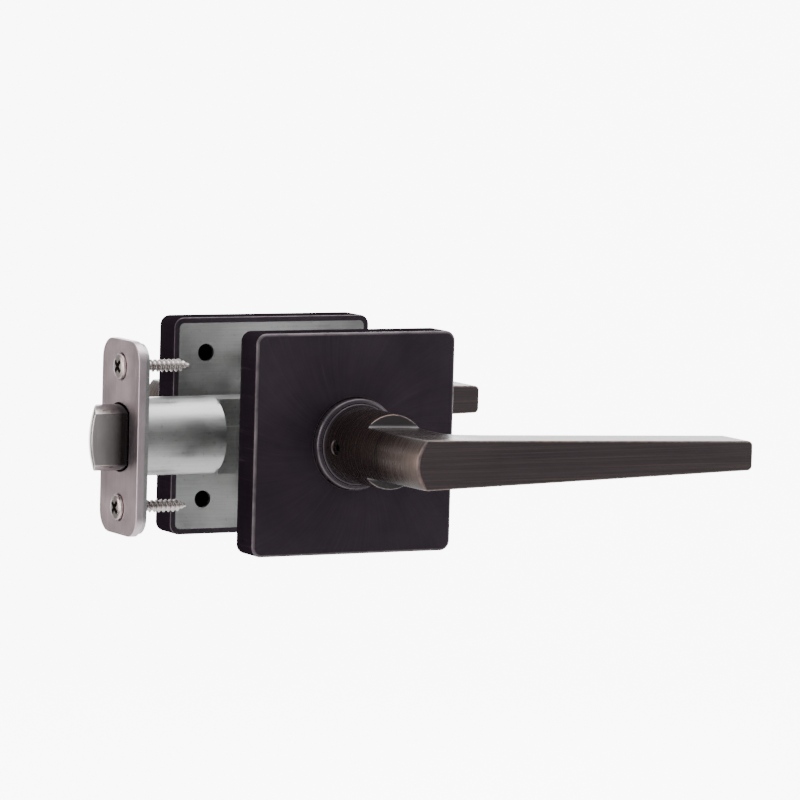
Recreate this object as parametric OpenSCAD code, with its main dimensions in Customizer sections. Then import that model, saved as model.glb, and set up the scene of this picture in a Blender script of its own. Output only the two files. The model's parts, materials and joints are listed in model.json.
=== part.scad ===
// Lever handle lockset, passage function, for a bored hinged door.
// Frame: the origin is where the spindle axis crosses the latch axis, in the
// middle of the door's thickness. -X runs to the door edge and the bolt, +X to
// the lever tips, -Y to the outside face, +Y to the inside face, +Z up.
// Both levers rest level and turn tip-down about +Y; the bolt slides along +X.

/* [Door] */
// Door thickness
door_thickness = 44.45; // [35:0.05:48]
// Spindle axis to door edge
backset = 60.325; // [60.325, 69.85]

/* [Rose] */
// Rose width and height
rose_size = 65; // [58:0.5:72]
// Rose depth from the door face
rose_depth = 10.6; // [8:0.1:14]
// Rose corner radius
rose_corner = 3; // [2:0.5:10]
// Rounding of the rose's front edge
rose_edge = 0.9; // [0.5:0.1:1.5]
// Rose wall
rose_wall = 1.6; // [1.2:0.1:2]

/* [Lever] */
// Door face to the lever's front
lever_projection = 68; // [60:0.5:75]
// Spindle axis to lever tip
lever_length = 100.6; // [90:0.2:120]
// Lever arm depth, front to back
arm_depth = 15.5; // [12:0.5:18]
// Arm height at the neck
arm_root = 14; // [12:0.2:16]
// Arm height at the tip
arm_tip = 8.7; // [7:0.1:12]
// Neck radius at its base
neck_base_r = 11.3; // [10.8:0.1:11.6]
// Neck radius at the lever's front
neck_front_r = 10.3; // [9.8:0.1:11]
// Door face to where the neck's flats begin
flat_start = 33.8; // [31:0.2:38]
// Inner fillet between the neck and the arm
elbow_r = 6; // [3:0.5:9]

/* [Latch] */
// Faceplate width
faceplate_width = 25.4; // [22:0.1:26]
// Faceplate height
faceplate_height = 57.15; // [55:0.05:58]
// Faceplate thickness
faceplate_t = 2.3; // [1.8:0.1:2.6]
// Spacing of the faceplate screws
screw_spacing = 41.3; // [40:0.1:42]
// How far the bolt stands out of the faceplate
throw = 11.6; // [10:0.1:12.7]
// Bolt radius
bolt_r = 9.8; // [9:0.1:9.8]
// Latch axis to the bolt's flat side
bolt_flat = 6.2; // [5:0.1:7]

/* [Spindle] */
// Spindle across flats
spindle_af = 7; // [7:0.1:8]

/* [Hidden] */
$fn = 64;
half_door = door_thickness / 2;
collar_top = rose_depth + 2.6;
lever_back = collar_top - 2.3;
screw_line = collar_top + 6.5;
arm_back = lever_projection - arm_depth;
tip_corner = 1.5;
taper = atan((arm_root - arm_tip) / 2 / (lever_length - tip_corner));
plate_t = 1.5;
plate_size = rose_size - 2 * rose_wall;
inner_corner = rose_corner - 1.4;
journal_r = 9;
sleeve_r = 7.9;
cup_r = 13;
groove_z = 9.5;
ring_t = 1;
hub_square = spindle_af + 0.2;
set_screw_r = 2;
post_z = 19;
post_r = 4;
screw_r = 2;
plate_hole = 22;
face_x = -backset;
inner_x = face_x + faceplate_t;
tube_end = -31;
tube_r = 11.5;
tube_bore_r = 10.1;
stem_r = 2.5;
stem_end_r = 1.6;
head_r = 3.7;
spring_seat_t = 1.2;
case_half_y = 6;
case_half_z = 11;
case_end = 12.5;
case_wall = 0.8;
latch_hub_r = 6;
latch_hub_square = spindle_af + 0.3;
lobe_reach = 11.6;
yoke_y = 3.2;
yoke_t = 1;
yoke_outer = yoke_y + yoke_t;
bar_x = -4.25;
bar_w = 3;
bar_z = 10;
bar_t = 2.2;
yoke_x = -30;
rivet_x = 9.3;
rivet_z = 3;
rivet_r = 1.08;
tip_x = face_x - throw;
cove_r = 2;
bronze = [0.16, 0.13, 0.14];
satin = [0.66, 0.64, 0.68];
zinc = [0.55, 0.56, 0.58];
steel = [0.45, 0.46, 0.48];
spring_steel = [0.35, 0.36, 0.40];

// ---- placing -------------------------------------------------------------

// Trim is drawn from the door face: x along X, y up, z out of the door.
module outside() translate([0, -half_door, 0]) rotate([90, 0, 0]) children();
module inside() mirror([0, 1, 0]) outside() children();

// A flat shape given as (Y, Z), thickened along X from x0.
module along_x(x0, len) translate([x0, 0, 0]) rotate([90, 0, 90]) linear_extrude(len) children();

// A flat shape given as (X, Z), thickened along Y between y0 and y1.
module along_y(y0, y1) translate([0, y1, 0]) rotate([90, 0, 0]) linear_extrude(y1 - y0) children();

// A round bar along X.
module rod_x(x0, len, r) translate([x0, 0, 0]) rotate([0, 90, 0]) cylinder(h = len, r = r);

module round_rect(w, h, r) {
    square([w - 2 * r, h], center = true);
    square([w, h - 2 * r], center = true);
    for (i = [-1, 1], j = [-1, 1]) translate([i * (w / 2 - r), j * (h / 2 - r)]) circle(r);
}

// ---- swept wire ------------------------------------------------------------

function unit(v) = v / norm(v);
function heading(p, i) = unit(p[min(i + 1, len(p) - 1)] - p[max(i - 1, 0)]);
function ring(p, i, r, n) = let (t = heading(p, i), s = unit(cross(t, [0, 0, 1])), u = cross(s, t))
    [for (k = [0:n - 1]) p[i] + r * (cos(360 * k / n) * s + sin(360 * k / n) * u)];
module wire(p, r, n = 8) {
    m = len(p);
    polyhedron(points = [for (i = [0:m - 1]) each ring(p, i, r, n)],
        faces = concat([[for (k = [0:n - 1]) k]],
            [for (i = [0:m - 2], k = [0:n - 1]) let (a = i * n + k, b = i * n + (k + 1) % n)
                [a, a + n, b + n, b]],
            [[for (k = [n - 1:-1:0]) (m - 1) * n + k]]));
}

// ---- trim ------------------------------------------------------------------

// A slab with rounded corners and a soft front edge, back face at z = 0.
module soft_slab(w, t, r, f) {
    module side() {
        translate([-w / 2, 0]) square([w, t - f]);
        translate([-w / 2 + f, 0]) square([w - 2 * f, t]);
        for (i = [-1, 1]) translate([i * (w / 2 - f), t - f]) circle(f);
    }
    translate([0, w / 2 - r, 0]) rotate([90, 0, 0]) linear_extrude(w - 2 * r) side();
    rotate([0, 0, 90]) translate([0, w / 2 - r, 0]) rotate([90, 0, 0])
        linear_extrude(w - 2 * r) side();
    for (i = [-1, 1], j = [-1, 1]) translate([i * (w / 2 - r), j * (w / 2 - r), 0])
        rotate_extrude() {
            square([r, t - f]);
            square([r - f, t]);
            translate([r - f, t - f]) intersection() {
                circle(f);
                square(f + 1);
            }
        }
}

module rose() difference() {
    soft_slab(rose_size, rose_depth, rose_corner, rose_edge);
    translate([0, 0, -1]) linear_extrude(rose_depth - rose_wall + 1)
        round_rect(plate_size, plate_size, inner_corner);
    translate([0, 0, 5]) cylinder(h = rose_depth, r = 13.6);
}

// Plate the rose snaps over; the screws and the spring housing sit on it.
module mounting_plate(hole_r) difference() {
    linear_extrude(plate_t) round_rect(plate_size - 0.1, plate_size - 0.1, inner_corner);
    translate([0, 0, -1]) cylinder(h = 4, r = 6.5);
    for (j = [-1, 1]) {
        translate([0, j * post_z, -1]) cylinder(h = 4, r = hole_r);
        for (i = [-1, 1]) translate([i * plate_hole, j * plate_hole, -1]) cylinder(h = 4, r = 2.6);
    }
}

// Cup that carries the lever hub and shuts in the torsion spring.
module spring_housing() difference() {
    union() {
        translate([0, 0, plate_t]) cylinder(h = rose_depth - rose_wall - plate_t, r = 14.8);
        translate([0, 0, 5]) cylinder(h = collar_top - 5, r = 13.4);
    }
    difference() {
        translate([0, 0, 1]) cylinder(h = 6, r = cup_r);
        rotate([0, 0, 138]) translate([11.3, -1.2, 4.4]) cube([2.4, 2.4, 4]);
    }
    translate([0, 0, 6]) cylinder(h = 10, r = journal_r + 0.05);
    translate([0, 0, 9.4]) cylinder(h = 10, r = 12.35);
}

// Torsion spring around the hub; one leg bears on the cup, one on the hub's lug.
module return_spring() {
    first = 148;
    last = 107.5 - 720;
    low = 4.7;
    high = 6.46;
    n = 46;
    coil = [for (i = [0:n]) let (a = first + (last - first) * i / n)
        [9.9 * cos(a), 9.9 * sin(a), low + (high - low) * i / n]];
    function leg(a, z) = [for (r = [12.2, 11]) [r * cos(a), r * sin(a), z]];
    tail = leg(last, high);
    wire(concat(leg(first, low), coil, [tail[1], tail[0]]), 0.38);
}

// Turned hub: flange and spring lug, journal, ring groove, sleeve, square hole.
module lever_hub() difference() {
    union() {
        translate([0, 0, 2.2]) cylinder(h = 1.8, r = cup_r - 0.8);
        translate([0, 0, 2.2]) cylinder(h = 7.2, r = journal_r);
        translate([0, 0, 9]) cylinder(h = 17, r = sleeve_r);
        intersection() {
            translate([0, 0, 3]) cylinder(h = 3.8, r = cup_r - 0.8);
            rotate([0, 0, 118]) translate([10.75, -1.4, 3]) cube([4, 2.8, 3.8]);
        }
    }
    translate([0, 0, groove_z]) difference() {
        cylinder(h = ring_t, r = journal_r);
        translate([0, 0, -1]) cylinder(h = 3, r = 7.3);
    }
    translate([-hub_square / 2, -hub_square / 2, 0]) cube([hub_square, hub_square, 40]);
    translate([-6, 0, screw_line]) rotate([0, -90, 0]) cylinder(h = 5, r = set_screw_r + 0.3);
}

module retaining_ring() translate([0, 0, groove_z]) difference() {
    cylinder(h = ring_t, r = 10.6);
    translate([0, 0, -1]) cylinder(h = 3, r = 7.35);
    translate([0, -2.5, -1]) cube([12, 5, 3]);
}

// Hex socket set screw that locks the lever on its hub, from the door-edge side.
module set_screw() translate([-6.3, 0, screw_line]) rotate([0, -90, 0]) difference() {
    cylinder(h = 4, r = set_screw_r);
    translate([0, 0, 2]) cylinder(h = 3, r = 1.15, $fn = 6);
}

module arm_outline() intersection() {
    union() {
        polygon([[0, -arm_root / 2], [0, arm_root / 2],
            [lever_length - tip_corner, arm_tip / 2], [lever_length - tip_corner, -arm_tip / 2]]);
        for (j = [-1, 1]) translate([lever_length - tip_corner, j * (arm_tip / 2 - tip_corner)])
            circle(tip_corner);
        translate([lever_length - 2, tip_corner - arm_tip / 2]) square([2, arm_tip - 2 * tip_corner]);
    }
    translate([lever_length - 140, 0]) circle(140);
}

// Takes off one side of the neck; its lower edge leaves a small cove.
module flat_cutter() {
    translate([-20, 0, cove_r]) cube([40, 20, 60]);
    translate([-20, cove_r, 0]) cube([40, 20, 60]);
    translate([-20, cove_r, cove_r]) rotate([0, 90, 0]) cylinder(h = 40, r = cove_r);
}

module lever() difference() {
    union() {
        translate([0, 0, lever_back]) cylinder(h = 3, r = 12);
        difference() {
            translate([0, 0, lever_back]) cylinder(h = lever_projection - lever_back,
                r1 = neck_base_r, r2 = neck_front_r);
            for (j = [0, 1]) mirror([0, j, 0])
                translate([0, arm_root / 2, flat_start]) rotate([0, 0, -taper]) flat_cutter();
        }
        translate([0, 0, arm_back]) linear_extrude(arm_depth) arm_outline();
        intersection() {
            translate([0, 0, arm_back - elbow_r]) rotate_extrude() difference() {
                square([10.5 + elbow_r, elbow_r]);
                translate([10.5 + elbow_r, 0]) circle(elbow_r);
            }
            linear_extrude(80) arm_outline();
        }
    }
    translate([0, 0, 5]) cylinder(h = 22, r = sleeve_r + 0.1);
    translate([-5, 0, screw_line]) rotate([0, -90, 0]) cylinder(h = 10, r = set_screw_r + 0.15);
}

// Threaded posts staked into the outside plate; the inside screws pull on them.
module screw_posts() for (j = [-1, 1]) translate([0, j * post_z, 0]) difference() {
    translate([0, 0, -half_door - 10]) cylinder(h = half_door + 10 + plate_t, r = post_r);
    translate([0, 0, -half_door - 11]) cylinder(h = 23, r = screw_r + 0.05);
}

module cross_slot(w, t, d) for (a = [0, 90]) rotate([0, 0, a])
    translate([-w / 2, -t / 2, -d]) cube([w, t, d + 1]);

// Pan-head machine screws through the inside plate into the posts.
module mounting_screws() for (j = [-1, 1]) translate([0, j * post_z, 0]) difference() {
    union() {
        translate([0, 0, -half_door - 2]) cylinder(h = half_door + 2 + plate_t, r = screw_r);
        translate([0, 0, plate_t]) rotate_extrude() {
            square([3.75, 1.4]);
            translate([0, 1.4]) intersection() {
                translate([0, -5.35]) circle(6.53);
                square([3.75, 2]);
            }
        }
    }
    translate([0, 0, 2.7]) cross_slot(4, 1, 1.5);
}

module spindle() cube([spindle_af, 2 * half_door + 48, spindle_af], center = true);

// ---- latch -----------------------------------------------------------------

module bolt_section(gap) intersection() {
    circle(bolt_r + gap);
    translate([-bolt_flat - gap, -20]) square([40, 40]);
}

module faceplate() difference() {
    along_x(face_x, faceplate_t) round_rect(faceplate_width, faceplate_height, 6.35);
    along_x(face_x - 1, faceplate_t + 2) bolt_section(0.4);
    for (j = [-1, 1]) translate([face_x, 0, j * screw_spacing / 2]) rotate([0, 90, 0]) {
        cylinder(h = 2, r1 = 4.3, r2 = 2.3);
        cylinder(h = 5, r = 2.2);
    }
}

module faceplate_backing() difference() {
    along_x(inner_x, 1.4) round_rect(faceplate_width - 1.4, faceplate_height - 1.4, 5.7);
    rod_x(inner_x - 1, 4, tube_r + 0.02);
    for (j = [-1, 1]) translate([inner_x - 1, 0, j * screw_spacing / 2])
        rotate([0, 90, 0]) cylinder(h = 4, r = 2.3);
}

// Wood screws with proud domed heads, profile as (radius, depth along +X).
module faceplate_screws() {
    core = 1.35;
    crest = 1.95;
    pitch = 1.5;
    for (j = [-1, 1]) translate([face_x, 0, j * screw_spacing / 2]) rotate([0, 90, 0])
        difference() {
            rotate_extrude() {
                polygon(concat([[0, -1.15], [2, -1.1], [3.2, -0.95], [3.58, -0.8], [head_r, -0.5],
                    [head_r, 0.5], [2.2, 2], [1.6, 2.6], [1.6, 6]],
                    [for (i = [0:8]) let (z = 6 + i * pitch, k = i > 6 ? 0.82 - 0.2 * (i - 7) : 1)
                        each [[core * k, z + 0.2], [crest * k, z + 0.75], [core * k, z + 1.3]]],
                    [[0, 22]]));
            }
            rotate([0, 180, 0]) translate([0, 0, 1.2]) cross_slot(3.9, 0.85, 1.6);
        }
}

module latch_tube() difference() {
    rod_x(inner_x, tube_end - inner_x, tube_r);
    rod_x(inner_x - 1, tube_end - inner_x + 2, tube_bore_r);
}

// Disc in the end of the tube, with tabs that grip the case.
module spring_seat() {
    difference() {
        rod_x(tube_end - spring_seat_t, spring_seat_t, tube_bore_r - 0.05);
        rod_x(tube_end - 2, 4, stem_r + 0.3);
    }
    for (j = [-1, 1]) translate([tube_end - 0.6, j * (case_half_y + 0.4) - 0.4, -3])
        cube([8, 0.8, 6]);
}

// Bevelled nose, a little barrelled, and a round hollow tail that runs in the tube.
module latch_bolt() {
    nose_r = throw + 1.4;
    difference() {
        union() {
            intersection() {
                along_x(tip_x, inner_x + 0.4 - tip_x) bolt_section(-0.1);
                union() {
                    translate([tip_x + nose_r, -bolt_flat - 0.4, 0]) rotate_extrude()
                        intersection() {
                            translate([nose_r - 30, 0]) circle(30);
                            translate([0, -12]) square([20, 24]);
                        }
                    translate([tip_x + nose_r - 0.6, -15, -15]) cube([6, 30, 30]);
                }
            }
            rod_x(inner_x + 0.2, 13.4, bolt_r);
        }
        rod_x(inner_x + 2, 30, 7);
        rod_x(inner_x - 3, 10, stem_r + 0.05);
    }
}

module bolt_stem() {
    rod_x(inner_x - 3, yoke_x - inner_x + 3, stem_r);
    rod_x(yoke_x - 0.1, yoke_t + 0.4, stem_end_r);
    translate([yoke_x + 1.2, 0, 0]) rotate([0, 90, 0]) cylinder(h = 1, r1 = 2.6, r2 = 1.8);
}

// Compression spring between the bolt and the seat, with closed end turns.
module latch_spring() {
    length = tube_end - spring_seat_t - (inner_x + 2);
    turns = 8;
    n = 128;
    rise = length - 1.06;
    translate([inner_x + 2, 0, 0]) rotate([0, 90, 0])
        wire([for (i = [0:n]) let (t = i / n, s = min(max((t - 0.11) / 0.78, 0), 1))
            [5.6 * cos(360 * turns * t), 5.6 * sin(360 * turns * t),
             0.53 + 0.9 * min(t, 0.11) / 0.11 + 0.9 * max(t - 0.89, 0) / 0.11
             + (rise - 1.8) * s]], 0.48, 7);
}

module case_box(in) translate([tube_end + in, in - case_half_y, in - case_half_z])
    cube([case_end - tube_end - 2 * in, 2 * (case_half_y - in), 2 * (case_half_z - in)]);

module case_shell() difference() {
    case_box(0);
    case_box(case_wall);
    along_y(-7, 7) circle(latch_hub_r + 0.05);
    rod_x(tube_end - 1, 3, stem_r + 0.3);
    translate([-10, -4.6, -12]) cube([case_end - case_wall + 10, 9.2, 24]);
    for (j = [-1, 1]) along_y(-7, 7) translate([rivet_x, rivet_z * j]) circle(rivet_r + 0.02);
}

module latch_case_outer() intersection() {
    case_shell();
    translate([-40, -10, -20]) cube([60, 10, 40]);
}

module latch_case_inner() intersection() {
    case_shell();
    translate([-40, 0, -20]) cube([60, 10, 40]);
}

module case_rivets() for (j = [-1, 1]) {
    along_y(-6.1, 6.1) translate([rivet_x, rivet_z * j]) circle(rivet_r);
    for (i = [0, 1]) mirror([0, i, 0]) translate([rivet_x, case_half_y, rivet_z * j])
        rotate([-90, 0, 0])
        cylinder(h = 0.7, r1 = 2, r2 = 1.3);
}

// U-shaped yoke: side plates either side of the latch hub, joined by cross bars.
module retractor() difference() {
    union() {
        for (i = [0, 1]) mirror([0, i, 0]) along_y(yoke_y, yoke_outer) {
            translate([yoke_x, -9]) square([11.8, 18]);
            for (j = [0, 1]) mirror([0, j]) {
                translate([yoke_x, 7.2]) square([bar_x + bar_w - yoke_x, 2.7]);
                translate([bar_x, 7.2]) square([bar_w, bar_z + bar_t - 7.2]);
            }
        }
        for (j = [0, 1]) mirror([0, 0, j]) translate([bar_x, -yoke_outer, bar_z])
            cube([bar_w, 2 * yoke_outer, bar_t]);
        translate([yoke_x, -yoke_outer, -9]) cube([1.2, 2 * yoke_outer, 18]);
    }
    rod_x(yoke_x - 1, 3, stem_end_r + 0.05);
}

// Square-holed hub whose two lobes push the retractor's cross bars.
module latch_hub() difference() {
    union() {
        along_y(-6.8, 6.8) circle(latch_hub_r);
        along_y(-1.8, 1.8) for (j = [0, 1]) mirror([0, j]) rotate(30) {
            polygon([[-2.8, 4.5], [2.8, 4.5], [1.05, 9.6], [1.05, lobe_reach],
                [-1.05, lobe_reach], [-1.05, 9.6]]);
            translate([0, lobe_reach]) circle(1.3);
        }
    }
    along_y(-8, 8) square(latch_hub_square, center = true);
}

// ---- nodes -----------------------------------------------------------------

module outside_lever() color(bronze) outside() lever();
module outside_set_screw() color(steel) outside() set_screw();
module outside_rose() color(bronze) outside() rose();
module outside_spring_housing() color(bronze) outside() spring_housing();
module outside_return_spring() color(spring_steel) outside() return_spring();
module outside_lever_hub() color(zinc) outside() lever_hub();
module outside_retaining_ring() color(spring_steel) outside() retaining_ring();
module outside_mounting_plate() color(zinc) outside() mounting_plate(4.02);
module inside_lever() color(bronze) inside() lever();
module inside_set_screw() color(steel) inside() set_screw();
module inside_rose() color(bronze) inside() rose();
module inside_spring_housing() color(bronze) inside() spring_housing();
module inside_return_spring() color(spring_steel) inside() return_spring();
module inside_lever_hub() color(zinc) inside() lever_hub();
module inside_retaining_ring() color(spring_steel) inside() retaining_ring();
module inside_mounting_plate() color(zinc) inside() mounting_plate(2.15);

outside_lever();
outside_set_screw();
outside_rose();
outside_spring_housing();
outside_return_spring();
outside_lever_hub();
outside_retaining_ring();
outside_mounting_plate();
inside_lever();
inside_set_screw();
inside_rose();
inside_spring_housing();
inside_return_spring();
inside_lever_hub();
inside_retaining_ring();
inside_mounting_plate();
color(steel) outside() screw_posts();
color(steel) inside() mounting_screws();
color(steel) spindle();
color(satin) faceplate();
color(zinc) faceplate_backing();
color(satin) faceplate_screws();
color(zinc) latch_tube();
color(zinc) spring_seat();
color(satin) latch_bolt();
color(steel) bolt_stem();
color(spring_steel) latch_spring();
color(zinc) latch_case_outer();
color(zinc) latch_case_inner();
color(steel) case_rivets();
color(steel) retractor();
color(zinc) latch_hub();
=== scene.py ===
"""Looks of the lever handle lockset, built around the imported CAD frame. Metres, +Z up.

-Y is the outside of the door, -X the door edge, +X the lever tips. The new pieces' outlines are in
millimetres, in the axes of the trim or of the door edge, and mm() turns them into metres.
"""

import json
from math import atan2, cos, pi, radians, sin, sqrt

import bmesh
import bpy
from mathutils import Matrix, Vector


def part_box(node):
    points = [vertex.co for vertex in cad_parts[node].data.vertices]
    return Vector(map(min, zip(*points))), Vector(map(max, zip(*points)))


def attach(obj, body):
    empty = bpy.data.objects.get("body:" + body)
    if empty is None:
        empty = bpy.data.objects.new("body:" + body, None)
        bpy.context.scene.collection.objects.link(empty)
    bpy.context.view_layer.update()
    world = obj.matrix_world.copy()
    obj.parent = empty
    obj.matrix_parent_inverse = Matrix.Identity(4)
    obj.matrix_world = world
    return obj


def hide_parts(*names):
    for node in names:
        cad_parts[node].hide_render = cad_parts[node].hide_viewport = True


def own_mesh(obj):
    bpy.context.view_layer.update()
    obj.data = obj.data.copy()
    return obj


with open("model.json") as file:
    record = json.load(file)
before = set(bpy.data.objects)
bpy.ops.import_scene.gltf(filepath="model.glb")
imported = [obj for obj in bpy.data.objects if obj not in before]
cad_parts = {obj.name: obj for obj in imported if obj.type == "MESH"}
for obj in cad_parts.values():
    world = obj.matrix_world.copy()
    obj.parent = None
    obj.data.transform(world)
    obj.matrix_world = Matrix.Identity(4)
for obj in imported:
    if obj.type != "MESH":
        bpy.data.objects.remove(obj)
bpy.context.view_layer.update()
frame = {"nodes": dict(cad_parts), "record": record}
nodes = frame["nodes"]
MM = 0.001


def node_box(name):
    low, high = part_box(name)
    return Vector(low), Vector(high)


def in_mm(length):
    """A length of the frame in millimetres, to a hundredth."""
    return round(length / MM, 2)


# Driving dimensions, read from the frame --------------------------------------------
# Boxes, half_door, face_x and bolt_tip_x are in metres, and the lengths made by in_mm in millimetres.

half_door = -node_box("outside_mounting_plate")[1].y
plate_low, plate_high = node_box("faceplate")
face_x = plate_low.x
bolt_tip_x = node_box("latch_bolt")[0].x

# Trim: lengths out of the door start at the door's face.
rose_low, rose_high = node_box("outside_rose")
rose_half = in_mm(rose_high.x)
rose_depth = in_mm(-rose_low.y - half_door)
collar_top = in_mm(-node_box("outside_spring_housing")[0].y - half_door)
lever_low, lever_high = node_box("outside_lever")
lever_length = in_mm(lever_high.x)
lever_front = in_mm(-lever_low.y - half_door)
lever_back = in_mm(-lever_high.y - half_door)
set_screw_low, set_screw_high = node_box("outside_set_screw")
screw_line = in_mm(-(set_screw_low.y + set_screw_high.y) / 2 - half_door)
mount_screw_head_r = 3.75
mount_screw_z = in_mm(node_box("mounting_screws")[1].z) - mount_screw_head_r

# Door edge
plate_width = in_mm(plate_high.y - plate_low.y)
plate_height = in_mm(plate_high.z - plate_low.z)
plate_t = in_mm(plate_high.x - plate_low.x)
plate_screw_head_r = 3.7
plate_screw_z = in_mm(node_box("faceplate_screws")[1].z) - plate_screw_head_r


# Mesh tools -------------------------------------------------------------------------


def mm(points):
    return [tuple(MM * c for c in p) for p in points]


def even_angles(count):
    return [2 * pi * k / count for k in range(count)]


def ring(angles, r, z):
    """A level loop of radius r at height z."""
    return [(r * cos(a), r * sin(a), z) for a in angles]


def level(outline, z):
    return [(x, y, z) for x, y in outline]


def trim_place(side):
    """Trim axes (x, y up, z out of the door) to the frame; side is -1 outside, +1 inside."""
    return Matrix(((1, 0, 0, 0), (0, 0, side, side * half_door), (0, 1, 0, 0), (0, 0, 0, 1)))


# Door-edge parts are drawn in (-Y, Z, outward), outward being -X from the faceplate's face.
edge_place = Matrix(((0, 0, -1, face_x), (-1, 0, 0, 0), (0, 1, 0, 0), (0, 0, 0, 1)))


def make_object(name, verts, faces, place=None):
    mesh = bpy.data.meshes.new(name)
    mesh.from_pydata([tuple(v) for v in verts], [], [tuple(f) for f in faces])
    if place is not None:
        mesh.transform(place)
    tidy(mesh)
    obj = bpy.data.objects.new(name, mesh)
    bpy.context.scene.collection.objects.link(obj)
    return obj


def tidy(mesh):
    """Outward normals and smooth shading."""
    bm = bmesh.new()
    bm.from_mesh(mesh)
    bmesh.ops.remove_doubles(bm, verts=bm.verts, dist=1e-7)
    bmesh.ops.recalc_face_normals(bm, faces=bm.faces)
    for face in bm.faces:
        face.smooth = True
    bm.to_mesh(mesh)
    bm.free()


def lathe(profile, count, closed=False):
    """Turns (radius, z) points about z. Radius 0 ends in one point."""
    verts, rows = [], []
    for r, z in profile:
        if r < 1e-9:
            rows.append([len(verts)] * count)
            verts.append((0, 0, z))
        else:
            rows.append(list(range(len(verts), len(verts) + count)))
            verts += ring(even_angles(count), r, z)
    faces = []
    spans = list(zip(rows, rows[1:])) + ([(rows[-1], rows[0])] if closed else [])
    for a, b in spans:
        for k in range(count):
            quad = [a[k], a[(k + 1) % count], b[(k + 1) % count], b[k]]
            faces.append([v for i, v in enumerate(quad) if v not in quad[:i]])
    return verts, [f for f in faces if len(f) > 2]


def stack(loops, closed=False):
    """Skins equal-length loops of points: capped at both ends, or closed back to the first loop."""
    count = len(loops[0])
    verts = [p for loop in loops for p in loop]
    faces = []
    spans = len(loops) if closed else len(loops) - 1
    for i in range(spans):
        a, b = i * count, ((i + 1) % len(loops)) * count
        faces += [[a + k, a + (k + 1) % count, b + (k + 1) % count, b + k] for k in range(count)]
    if not closed:
        faces.append(list(range(count)))
        faces.append(list(range(len(verts) - count, len(verts))))
    return verts, faces


def prism(outline, z0, z1):
    return stack([level(outline, z) for z in (z0, z1)])


def fillet(centre, radius, start, end, steps):
    """Points of an arc in degrees, both ends included."""
    angles = [radians(start + (end - start) * i / steps) for i in range(steps + 1)]
    return [(centre[0] + radius * cos(a), centre[1] + radius * sin(a)) for a in angles]


def round_rect(half_w, half_h, radius, corner_steps, side_steps):
    """Rounded rectangle outline, anticlockwise, corners and sides split into equal steps."""
    signs = ((1, 1), (-1, 1), (-1, -1), (1, -1))
    centres = [(sx * (half_w - radius), sy * (half_h - radius)) for sx, sy in signs]
    arcs = [fillet(centre, radius, 90 * i, 90 * i + 90, corner_steps) for i, centre in enumerate(centres)]
    points = []
    for arc, after in zip(arcs, arcs[1:] + arcs[:1]):
        points += arc
        end, start = arc[-1], after[0]
        for j in range(1, side_steps):
            points.append(tuple(a + (b - a) * j / side_steps for a, b in zip(end, start)))
    return points


def cut(obj, tool):
    """Takes the tool's solid out of the object, and the tool out of the scene."""
    modifier = obj.modifiers.new("cut", "BOOLEAN")
    modifier.operation = "DIFFERENCE"
    modifier.solver = "EXACT"
    modifier.object = tool
    bake(obj)
    bpy.data.objects.remove(tool)


def bake(obj):
    """Replaces the object's mesh by its evaluated one, with no modifiers left."""
    depsgraph = bpy.context.evaluated_depsgraph_get()
    depsgraph.update()
    mesh = bpy.data.meshes.new_from_object(obj.evaluated_get(depsgraph), depsgraph=depsgraph)
    obj.modifiers.clear()
    obj.data = mesh


def finish_piece(obj, body, slot, material, *replaced):
    """Gives a new piece its material and body, and hides the CAD nodes that it stands for."""
    obj.data.materials.clear()
    obj.data.materials.append(material)
    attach(obj, body)
    if replaced:
        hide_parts(*replaced)


# Node graph tools -------------------------------------------------------------------


def set_range(node, low, high, out_low, out_high):
    for key, number in (("From Min", low), ("From Max", high), ("To Min", out_low), ("To Max", out_high)):
        node.inputs[key].default_value = number


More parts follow.
